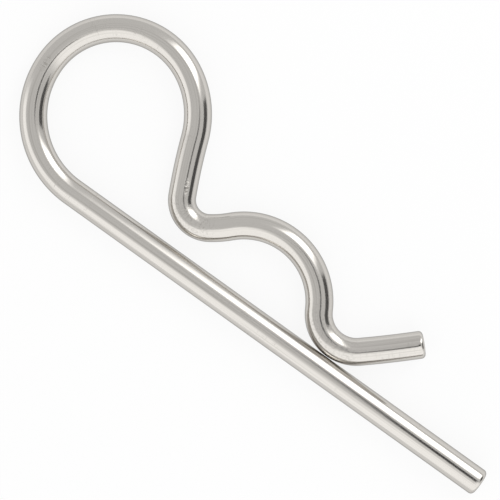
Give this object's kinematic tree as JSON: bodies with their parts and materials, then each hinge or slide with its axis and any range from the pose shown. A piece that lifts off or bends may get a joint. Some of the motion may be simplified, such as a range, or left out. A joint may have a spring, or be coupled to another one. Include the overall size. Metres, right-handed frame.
{
  "type": "hitch r clip pin",
  "caption": "Spring wire clip in R form: a straight shank for a pin's cross hole, a round bow to pull it by, and a sprung leg whose hump snaps over the pin.",
  "frame": {"origin": "where the axis of the held pin crosses the axis of the shank, in the middle plane of the wire", "axes": "+X along the shank towards its free end, +Y from the shank towards the spring leg, +Z along the held pin, square to the plane of the clip"},
  "size_m": [0.0869, 0.0288, 0.004],
  "materials": {
    "spring_wire": "bright drawn stainless spring wire"
  },
  "bodies": {
    "root": {"r_clip": "spring_wire"}
  },
  "joints": []
}
